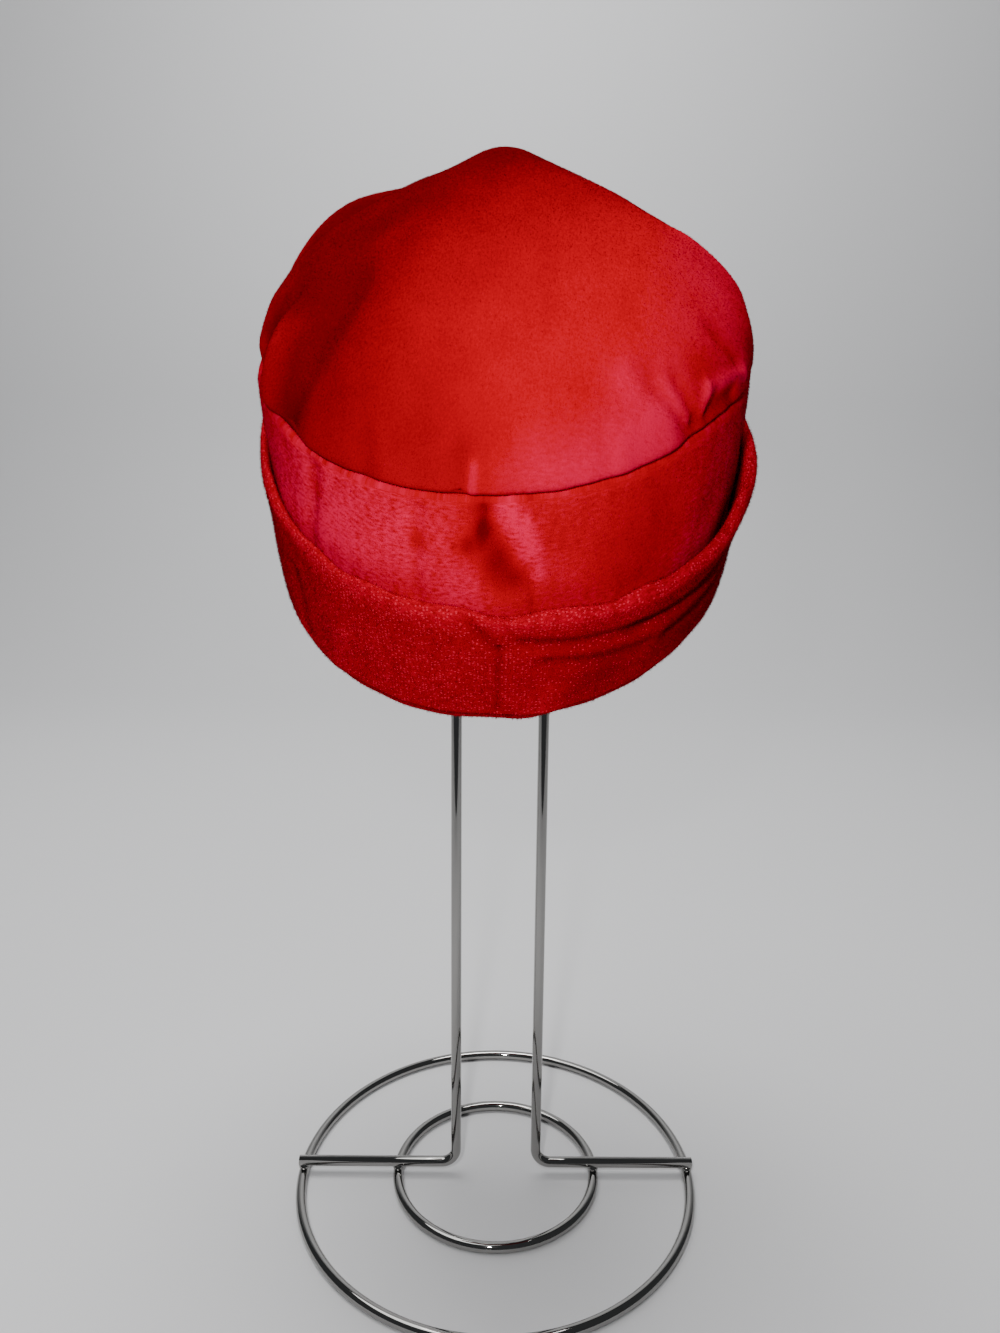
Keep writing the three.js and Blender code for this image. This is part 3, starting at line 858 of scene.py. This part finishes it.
HEM_BUMP_ANGLE = math.radians(5)
HEM_BUMP_WIDTH = math.radians(5)
HEM_BUMP_DROP = 1.3 * MM
HEM_WAVE_HEIGHT = 0.4 * MM
HEM_WAVE_SIZE = 0.03
HEM_WAVE_REACH = 0.4
from_bump = (angles - HEM_BUMP_ANGLE + math.pi) % (2 * math.pi) - math.pi
hem_waves = HEM_WAVE_HEIGHT * soft_waves(band_place(angles, 0 * angles), HEM_WAVE_SIZE, 61)
hem_waves -= HEM_BUMP_DROP * np.exp(-((from_bump / HEM_BUMP_WIDTH) ** 2))


def cuff_ring(way, rise, out, thick_share=1.0):
    """A whole ring of cuff points. The hem's own waves die out a little way up."""
    drop = hem_waves * max(0.0, 1 - way / HEM_WAVE_REACH) ** 2
    return cuff_point(angles, way * np.ones(ROUND), rise + drop, out, thick_share)


SWELL_FROM = 0.7
SWELL_SPAN = 0.3
ROLL_FROM = 0.93
ROLL_WAY = 0.95
ROLL_SHARE = 0.05
RIM_WAVE_SHARE = 0.35
RIM_WAVE_SIZE = 0.028
HEM_WAY = 0.08
outer_wall = cuff_face + CUFF_CLOTH
fold_turns = np.linspace(-math.pi, 0, 10)
fold_middle = (lip_face - LIP_CLOTH + outer_wall) / 2
fold_half = (outer_wall - lip_face + LIP_CLOTH) / 2
roll_turns = np.linspace(0, math.pi, ROLL_RINGS)
roll = CUFF_CLOTH * around(CUFF_TABLE, "roll", angles)
rim_waves = CUFF_CLOTH * RIM_WAVE_SHARE * soft_waves(band_place(angles, 0 * angles), RIM_WAVE_SIZE, 41)
rows = []
ways = []
lip_outer_shares = np.linspace(LIP_HEIGHT, CUFF_FOLD, 6)
for height in lip_outer_shares:
    rows.append(wall_point(angles, np.full(ROUND, height / BAND_HEIGHT), lip_face - LIP_CLOTH))
    ways.append(0)
for turn in fold_turns:
    out = fold_middle + fold_half * math.cos(turn)
    rows.append(cuff_ring(0.0, CUFF_FOLD * (1 + math.sin(turn)), out, 0.0))
    ways.append(0)
for way in np.linspace(HEM_WAY, ROLL_FROM, CUFF_RINGS):
    swell = roll * max(0.0, (way - SWELL_FROM) / SWELL_SPAN) ** 2
    rows.append(cuff_ring(way, 0, outer_wall + swell))
    ways.append(way)
roll_out = outer_wall + roll * ((ROLL_FROM - SWELL_FROM) / SWELL_SPAN) ** 2
roll_middle = (cuff_face + roll_out) / 2
roll_half = (roll_out - cuff_face) / 2
for turn in roll_turns:
    rise = (CUFF_HEIGHT * ROLL_SHARE + rim_waves) * math.sin(turn)
    away = roll_middle + roll_half * math.cos(turn)
    rows.append(cuff_ring(ROLL_WAY, rise, away, max(0.0, math.cos(turn))))
    ways.append(ROLL_WAY + ROLL_SHARE * math.sin(turn))
outside_last = len(rows)
for way in np.linspace(0.9, HEM_WAY, 24):
    rows.append(cuff_ring(way, 0, cuff_face, 0.0))
rows.append(cuff_ring(0.0, CUFF_FOLD, cuff_face, 0.0))
rows.append(cuff_ring(0.0, CUFF_CLOTH, lip_face / 2, 0.0))
rows.append(cuff_ring(0.0, CUFF_FOLD, lip_face, 0.0))
for height in lip_outer_shares[::-1][1:]:
    rows.append(wall_point(angles, np.full(ROUND, height / BAND_HEIGHT), lip_face))
cuff_rows = np.stack(rows)
ways += [0] * (len(rows) - len(ways))
section = np.linalg.norm(np.diff(cuff_rows, axis=0), axis=-1).mean(1)
cuff_along = np.concatenate([[0], np.cumsum(section)])
cuff_uv = np.stack(np.broadcast_arrays(closing(angles)[None, :] * CLOTH_RADIUS, cuff_along[:, None]), -1)
cuff_place = band_place(*np.meshgrid(angles, ways))
cuff_nap_and_light = pile_lie_and_painted_light(CUFF_PATCHES, CUFF_CREASES, cuff_place, unrolled)
roll_first = outside_last - ROLL_RINGS
# The rolled top of the cuff is painted lighter: a painted highlight where light from above falls on the roll.
rim_rows = [roll_first - 8, roll_first, outside_last, outside_last + 2]
rim_painted_light = np.interp(np.arange(len(cuff_rows)), rim_rows, [0, 0.30, 0.20, 0])
cuff_nap_and_light += rim_painted_light[:, None]
cuff = cloth_object("velvet_cuff", cuff_rows, cuff_uv, True, nap_and_light=np.clip(cuff_nap_and_light, -1, 1))
shown = slice(len(lip_outer_shares) + 2, outside_last)
cuff_pile = pile(
    "velvet_cuff_pile", cuff_rows[shown][::-1], cuff_uv[shown][::-1], cuff_nap_and_light[shown][::-1],
    count=120000, length=1.0 * MM, lean=0.4, uneven=0.6, seed=53,
)

# %% [markdown]
# The stand is bent chrome wire: two rings, and one long wire whose feet lie across them. A wire is a
# circle swept along a path, with more stations where it bends. The pieces are joined as the welds
# join the real ones, with a small blob of metal at each crossing.

# %% Wire stand
WIRE_SIDES = 28
RING_STATIONS = 160


def sweep(name, path, along, up, closed):
    """A round wire along a path. along and up are unit directions at each station."""
    side = np.cross(along, up)
    turns = np.arange(WIRE_SIDES) / WIRE_SIDES * 2 * math.pi
    ring = np.cos(turns)[None, :, None] * up[:, None, :] + np.sin(turns)[None, :, None] * side[:, None, :]
    points = path[:, None, :] + ring * WIRE / 2
    faces = []
    stations = len(path)
    for j in range(stations if closed else stations - 1):
        k = (j + 1) % stations
        for i in range(WIRE_SIDES):
            n = (i + 1) % WIRE_SIDES
            faces.append([j * WIRE_SIDES + i, k * WIRE_SIDES + i, k * WIRE_SIDES + n, j * WIRE_SIDES + n])
    if not closed:
        faces.append([i for i in range(WIRE_SIDES)])
        faces.append([(stations - 1) * WIRE_SIDES + i for i in reversed(range(WIRE_SIDES))])
    mesh = bpy.data.meshes.new(name)
    mesh.from_pydata([tuple(p) for p in points.reshape(-1, 3)], [], faces)
    mesh.polygons.foreach_set("use_smooth", [True] * len(faces))
    made = bpy.data.objects.new(name, mesh)
    bpy.context.collection.objects.link(made)
    return made


def base_ring(name, width):
    """A closed ring of wire that lies on the table, as wide as told from edge to edge."""
    turn = np.arange(RING_STATIONS) / RING_STATIONS * 2 * math.pi
    radius = (width - WIRE) / 2
    path = np.stack([radius * np.cos(turn), radius * np.sin(turn), np.full_like(turn, WIRE / 2)], -1)
    path[:, :2] += STAND_MIDDLE
    along = np.stack([-np.sin(turn), np.cos(turn), np.zeros_like(turn)], -1)
    up = np.tile([0.0, 0.0, 1.0], (RING_STATIONS, 1))
    return sweep(name, path, along, up, True)


def arc(centre, radius, start, stop, count, side):
    """An arc from start to stop in degrees. side is 1 when it turns to the left and -1 to the right."""
    turn = np.linspace(math.radians(start), math.radians(stop), count)
    place = np.stack([centre[0] + radius * np.cos(turn), centre[1] + radius * np.sin(turn)], -1)
    heading = side * np.stack([-np.sin(turn), np.cos(turn)], -1)
    return place, heading


foot_level = 1.5 * WIRE - WELD_SINK
foot_corner = UPRIGHT_SPACING / 2 + FOOT_BEND
arch_z = STAND_HEIGHT - WIRE / 2 - ARCH_RADIUS
stretches = [
    (np.array([[-BASE_WIDTH / 2, foot_level]]), np.array([[1.0, 0.0]])),
    arc((-foot_corner, foot_level + FOOT_BEND), FOOT_BEND, -90, 0, 14, 1),
    arc((0, arch_z), ARCH_RADIUS, 180, 0, 48, -1),
    arc((foot_corner, foot_level + FOOT_BEND), FOOT_BEND, 180, 270, 14, 1),
    (np.array([[BASE_WIDTH / 2, foot_level]]), np.array([[1.0, 0.0]])),
]
flat_path = np.concatenate([part[0] for part in stretches])
flat_heading = np.concatenate([part[1] for part in stretches])
wire_path = np.stack([flat_path[:, 0], np.zeros(len(flat_path)), flat_path[:, 1]], -1)
wire_path[:, :2] += STAND_MIDDLE
wire_along = np.stack([flat_heading[:, 0], np.zeros(len(flat_path)), flat_heading[:, 1]], -1)
wire_up = np.tile([0.0, 1.0, 0.0], (len(flat_path), 1))
wire_stand = sweep("chrome_wire_stand", wire_path, wire_along, wire_up, False)
wire_parts = [base_ring("base_ring", BASE_WIDTH), base_ring("inner_ring", INNER_RING_WIDTH)]
WELD_RADIUS = WIRE * 0.56
WELD_SHAPE = (1.0, 1.25, 0.85)
WELD_LEVEL = WIRE * 0.95
outer_weld = (BASE_WIDTH - WIRE) / 2
inner_weld = (INNER_RING_WIDTH - WIRE) / 2
for number, distance in enumerate((-outer_weld, -inner_weld, inner_weld, outer_weld)):
    blob = bpy.data.meshes.new(f"weld_{number}")
    shape = bmesh.new()
    bmesh.ops.create_uvsphere(shape, u_segments=20, v_segments=12, radius=WELD_RADIUS)
    bmesh.ops.scale(shape, vec=WELD_SHAPE, verts=shape.verts)
    spot = (STAND_MIDDLE[0] + distance, STAND_MIDDLE[1], WELD_LEVEL)
    bmesh.ops.translate(shape, vec=spot, verts=shape.verts)
    shape.to_mesh(blob)
    shape.free()
    blob.polygons.foreach_set("use_smooth", [True] * len(blob.polygons))
    weld = bpy.data.objects.new(f"weld_{number}", blob)
    bpy.context.collection.objects.link(weld)
    wire_parts.append(weld)
for part in wire_parts:
    union = wire_stand.modifiers.new(part.name, "BOOLEAN")
    union.operation = "UNION"
    union.solver = "EXACT"
    union.object = part
bpy.context.view_layer.update()
evaluated = wire_stand.evaluated_get(bpy.context.evaluated_depsgraph_get())
fused = bpy.data.meshes.new_from_object(evaluated)
wire_stand.modifiers.clear()
wire_stand.data = fused
for part in wire_parts:
    bpy.data.objects.remove(part)
print("stand faces", len(wire_stand.data.polygons))

# %% [markdown]
# A material in Blender is a small tree of nodes joined by links. Two helpers keep the next cells short:
# one adds a node, the other fills its sockets with a link or a fixed value.

# %% Node helpers
def add_node(tree, kind, **settings):
    node = tree.nodes.new(kind)
    for key, value in settings.items():
        setattr(node, key, value)
    return node


def feed(tree, node, values):
    """Sets sockets by name or number: a socket is linked, anything else is a fixed value."""
    for key, value in values.items():
        if isinstance(value, bpy.types.NodeSocket):
            tree.links.new(value, node.inputs[key])
        else:
            node.inputs[key].default_value = value
    return node


# %% [markdown]
# Velvet is a field of short upright threads. Brushed one way it swallows light and looks deep, brushed
# the other way it throws light back and looks pink. Here that light is painted: each mesh stores which way
# its pile lies together with painted light and shade, its nap, and one shared node group turns that into
# a colour, from a painted shade to a pink painted sheen, and a height for the bumps.

# %% The velvet group
GROUP_INPUTS = {
    "Cloth": "NodeSocketVector",
    "Nap and Light": "NodeSocketFloat",
    # A painted shade colour, the body colour and a pink painted sheen colour.
    "Shaded": "NodeSocketColor",
    "Body": "NodeSocketColor",
    "Painted Sheen": "NodeSocketColor",
    "Crush": "NodeSocketFloat",
    "Rows": "NodeSocketFloat",
    "Glints": "NodeSocketFloat",
    "Glint Colour": "NodeSocketColor",
}
velvet_group = bpy.data.node_groups.new("velvet_pile", "ShaderNodeTree")
for name, kind in GROUP_INPUTS.items():
    velvet_group.interface.new_socket(name, in_out="INPUT", socket_type=kind)
velvet_group.interface.new_socket("Colour", in_out="OUTPUT", socket_type="NodeSocketColor")
velvet_group.interface.new_socket("Height", in_out="OUTPUT", socket_type="NodeSocketFloat")
given = add_node(velvet_group, "NodeGroupInput").outputs
result = add_node(velvet_group, "NodeGroupOutput")


def sums(operation, a, b, clamp=False):
    """One step of arithmetic on two signals or numbers."""
    node = add_node(velvet_group, "ShaderNodeMath", operation=operation, use_clamp=clamp)
    return feed(velvet_group, node, {0: a, 1: b}).outputs[0]


def blend(share, a, b):
    """Colour a where the share is 0, colour b where it is 1."""
    node = add_node(velvet_group, "ShaderNodeMix", data_type="RGBA")
    return feed(velvet_group, node, {"Factor": share, 6: a, 7: b}).outputs[2]


def stretched(x, y):
    """The flat place on the cloth times x and y. The larger the number, the finer the pattern."""
    node = add_node(velvet_group, "ShaderNodeVectorMath", operation="MULTIPLY")
    return feed(velvet_group, node, {0: given["Cloth"], 1: (x, y, 1)}).outputs[0]


def noise(place, scale, detail):
    node = add_node(velvet_group, "ShaderNodeTexNoise")
    return feed(velvet_group, node, {"Vector": place, "Scale": scale, "Detail": detail}).outputs["Fac"]


def centred(signal, strength):
    """A noise moved from 0 to 1 down to swing about nothing, and made as strong as told."""
    return sums("MULTIPLY", sums("SUBTRACT", signal, 0.5), strength)


print("velvet group inputs:", [socket.name for socket in given if socket.name])

# %% [markdown]
# Four noises of different size lie over the nap and its painted light: the grain of the threads, soft
# shifts in how they stand, crushed streaks, and the rows in which the threads are woven. Streaks and rows
# show only where the nap and its painted light are high.

# %% The pile's grain
grain = noise(given["Cloth"], 1500, 2)
soft = noise(given["Cloth"], 70, 3)
streak = noise(stretched(220, 70), 1, 4)
thread_rows = noise(stretched(420, 1100), 1, 2)
# High where the pile is brushed up and where light is painted on it.
brushed_up_and_lit = sums("ADD", given["Nap and Light"], 0.35, True)
worked = sums("ADD", centred(streak, given["Crush"]), centred(thread_rows, given["Rows"]))
lie_and_light = sums("ADD", centred(grain, 0.6), given["Nap and Light"])
lie_and_light = sums("ADD", lie_and_light, centred(soft, 0.5))
lie_and_light = sums("ADD", lie_and_light, sums("MULTIPLY", worked, brushed_up_and_lit))
print("pile nodes:", len(velvet_group.nodes))

# %% [markdown]
# On the turned cloth some thread ends catch the light; these are painted glints in the colour. A
# pattern of cells gives each glint a place and a chance to show, and one input of the group says how
# many of them do.

# %% Painted glints
GLINT_SIZE = 0.27
cells = add_node(velvet_group, "ShaderNodeTexVoronoi", voronoi_dimensions="2D")
feed(velvet_group, cells, {"Vector": stretched(750, 1000), "Scale": 1.0, "Randomness": 0.9})
chance = add_node(velvet_group, "ShaderNodeSeparateColor")
feed(velvet_group, chance, {"Color": cells.outputs["Color"]})
share_shown = sums("MULTIPLY", given["Glints"], sums("ADD", given["Nap and Light"], 0.6, True))
chosen = sums("LESS_THAN", chance.outputs[0], share_shown)
small = sums("LESS_THAN", cells.outputs["Distance"], GLINT_SIZE)
glint = sums("MULTIPLY", chosen, small)
print("with flecks:", len(velvet_group.nodes))

# %% [markdown]
# The lie of the pile, with its painted light and shade, picks the colour: below nothing it runs from
# a painted shade colour to the body, above nothing from the body to a pink painted sheen. The same grain,
# streaks and painted glints raise the surface a little.

# %% Colour and height of the pile
# Painted shade below nothing, a pink painted sheen above it.
darker = blend(sums("ADD", lie_and_light, 1.0, True), given["Shaded"], given["Body"])
colour = blend(sums("MULTIPLY", lie_and_light, 1.0, True), darker, given["Painted Sheen"])
# Painted glints laid over the colour.
colour = blend(sums("MULTIPLY", glint, 0.45), colour, given["Glint Colour"])
height = sums("ADD", sums("MULTIPLY", grain, 0.7), sums("MULTIPLY", streak, 0.5))
height = sums("ADD", height, sums("MULTIPLY", glint, 0.4))
feed(velvet_group, result, {"Colour": colour, "Height": height})
print("velvet group nodes:", len(velvet_group.nodes))

# %% [markdown]
# Three velvets use the group: the crown and band show the face of the pile, the cuff shows the same
# cloth turned over, darker, with its rows of thread ends and painted glints, and the inside is plain backing.

# %% Materials
def material(name, colour, roughness, metallic=0.0):
    made = bpy.data.materials.new(name)
    made.use_nodes = True
    shader = made.node_tree.nodes["Principled BSDF"]
    shader.inputs["Base Color"].default_value = (*colour, 1)
    shader.inputs["Roughness"].default_value = roughness
    shader.inputs["Metallic"].default_value = metallic
    return made


# The colour of the painted glints on the thread ends.
GLINT_COLOUR = (0.90, 0.03, 0.08, 1)
SHEEN = 0.03
SHEEN_TINT = (1.0, 0.02, 0.06, 1)


def velvet_material(name, shaded, body, lit, crush, rows_seen, glints, bump):
    """A velvet of three colours, a painted shade, the body and a lit pink painted sheen, with the strength of each
    pattern. bump is in millimetres.
    """
    made = material(name, body, 0.85)
    tree = made.node_tree
    shader = tree.nodes["Principled BSDF"]
    shader.inputs["Specular IOR Level"].default_value = 0.0
    shader.inputs["Sheen Weight"].default_value = SHEEN
    shader.inputs["Sheen Roughness"].default_value = 0.4
    shader.inputs["Sheen Tint"].default_value = SHEEN_TINT
    cloth = add_node(tree, "ShaderNodeUVMap", uv_map="cloth")
    nap_and_light = add_node(tree, "ShaderNodeAttribute", attribute_name="nap_and_light")
    threads = add_node(tree, "ShaderNodeGroup", node_tree=velvet_group)
    feed(tree, threads, {"Cloth": cloth.outputs["UV"], "Nap and Light": nap_and_light.outputs["Fac"]})
    feed(tree, threads, {"Shaded": (*shaded, 1), "Body": (*body, 1), "Painted Sheen": (*lit, 1)})
    feed(tree, threads, {"Crush": crush, "Rows": rows_seen, "Glints": glints, "Glint Colour": GLINT_COLOUR})
    raised = add_node(tree, "ShaderNodeBump")
    feed(tree, raised, {"Height": threads.outputs["Height"], "Distance": bump * MM, "Strength": 0.6})
    feed(tree, shader, {"Base Color": threads.outputs["Colour"], "Normal": raised.outputs["Normal"]})
    return made


# Each velvet has a painted shade colour, a body colour and a lit colour for its painted sheen.
velvet = velvet_material(
    "crimson_velvet", shaded=(0.14, 0.0, 0.002), body=(0.45, 0.0, 0.009), lit=(0.65, 0.001, 0.046),
    crush=0.7, rows_seen=1.2, glints=0.0, bump=0.3,
)
band_velvet = velvet_material(
    "brushed_velvet", shaded=(0.14, 0.0, 0.002), body=(0.46, 0.0, 0.009), lit=(0.72, 0.001, 0.055),
    crush=1.5, rows_seen=3.2, glints=0.0, bump=0.4,
)
cuff_velvet = velvet_material(
    "turned_velvet", shaded=(0.11, 0.0, 0.001), body=(0.32, 0.0, 0.006), lit=(0.60, 0.0, 0.022),
    crush=1.3, rows_seen=2.4, glints=0.6, bump=0.6,
)
velvet_inside = material("velvet_backing", (0.16, 0.001, 0.003), 0.9)
chrome = material("polished_chrome", (0.30, 0.295, 0.285), 0.05, 1.0)
for threads, face in ((tip_pile, velvet), (band_pile, band_velvet), (cuff_pile, cuff_velvet)):
    threads.data.materials.append(face)
for piece, face in ((crown_tip, velvet), (side_band, band_velvet), (cuff, cuff_velvet)):
    piece.data.materials.append(face)
    piece.data.materials.append(velvet_inside)
wire_stand.data.materials.clear()
wire_stand.data.materials.append(chrome)
print("materials:", [m.name for m in bpy.data.materials])

# %% [markdown]
# The stage is a pale sheet that lies under the stand and curves up far behind it. The light is a small
# bright lamp beside the lens, which gives the velvet its colour, and a large soft lamp overhead. The
# sheet ends a little way in front, so the chrome has something dark to show between its highlights.

# %% Floor and light
FLOOR_FRONT = -0.5
FLOOR_BACK = 1.0
FLOOR_CURVE = 0.5
FLOOR_HALF = 2.5
WALL_TOP = 2.5
curve_turns = np.linspace(0, math.pi / 2, 13)
profile = [(FLOOR_FRONT, 0.0)]
profile += [(FLOOR_BACK + FLOOR_CURVE * math.sin(t), FLOOR_CURVE * (1 - math.cos(t))) for t in curve_turns]
profile.append((FLOOR_BACK + FLOOR_CURVE, WALL_TOP))
floor_points = [(x, y, z) for y, z in profile for x in (-FLOOR_HALF, FLOOR_HALF)]
floor_faces = [(2 * k, 2 * k + 1, 2 * k + 3, 2 * k + 2) for k in range(len(profile) - 1)]
floor_mesh = bpy.data.meshes.new("floor")
floor_mesh.from_pydata(floor_points, [], floor_faces)
floor_mesh.polygons.foreach_set("use_smooth", [True] * len(floor_faces))
floor = bpy.data.objects.new("floor", floor_mesh)
bpy.context.collection.objects.link(floor)
floor.data.materials.append(material("pale_floor", (0.72, 0.72, 0.73), 0.55))
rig.stage(floor)


def area_light(name, place, target, size, power):
    """A round lamp that faces its target."""
    data = bpy.data.lights.new(name, "AREA")
    data.shape = "DISK"
    data.size = size
    data.energy = power
    made = bpy.data.objects.new(name, data)
    made.location = place
    made.rotation_euler = (Vector(target) - Vector(place)).to_track_quat("-Z", "Y").to_euler()
    bpy.context.collection.objects.link(made)
    return made


area_light("lens_lamp", camera_spot + Vector((-0.04, 0.0, 0.07)), (0, 0, 0.33), 0.03, 1.3)
area_light("overhead", (-0.3, 0.1, 1.5), (0, 0.1, 0.0), 1.2, 12.0)
area_light("backdrop", (0.0, 0.2, 1.9), (0, 1.5, 0.5), 1.0, 26.0)
world = bpy.data.worlds.new("studio")
bpy.context.scene.world = world
world.use_nodes = True
world.node_tree.nodes["Background"].inputs["Color"].default_value = (0.9, 0.95, 1.0, 1)
world.node_tree.nodes["Background"].inputs["Strength"].default_value = 0.08
print("lights:", [o.name for o in bpy.data.objects if o.type == "LIGHT"])

# %% [markdown]
# Last, every piece is tied to the frame: what it rides on, which CAD node it stands for and which of
# the record's finishes it wears.

# %% Tie the pieces to the frame
for piece, node, slot in (
    (crown_tip, "crown_tip", "velvet"),
    (tip_pile, "crown_tip", "velvet"),
    (side_band, "side_band", "velvet"),
    (band_pile, "side_band", "velvet"),
    (cuff, "cuff", "cuff_velvet"),
    (cuff_pile, "cuff", "cuff_velvet"),
    (wire_stand, "wire_stand", "chrome"),
):
    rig.ride(piece, "root")
    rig.replaces(piece, node)
    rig.slot(piece, slot)
json.dump(
    {"cad": [list(map(float, corner)) for corner in cad_box], "visual": [list(map(float, corner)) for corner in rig.bounds()]},
    open("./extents.json", "w"),
)
print(open("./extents.json").read())
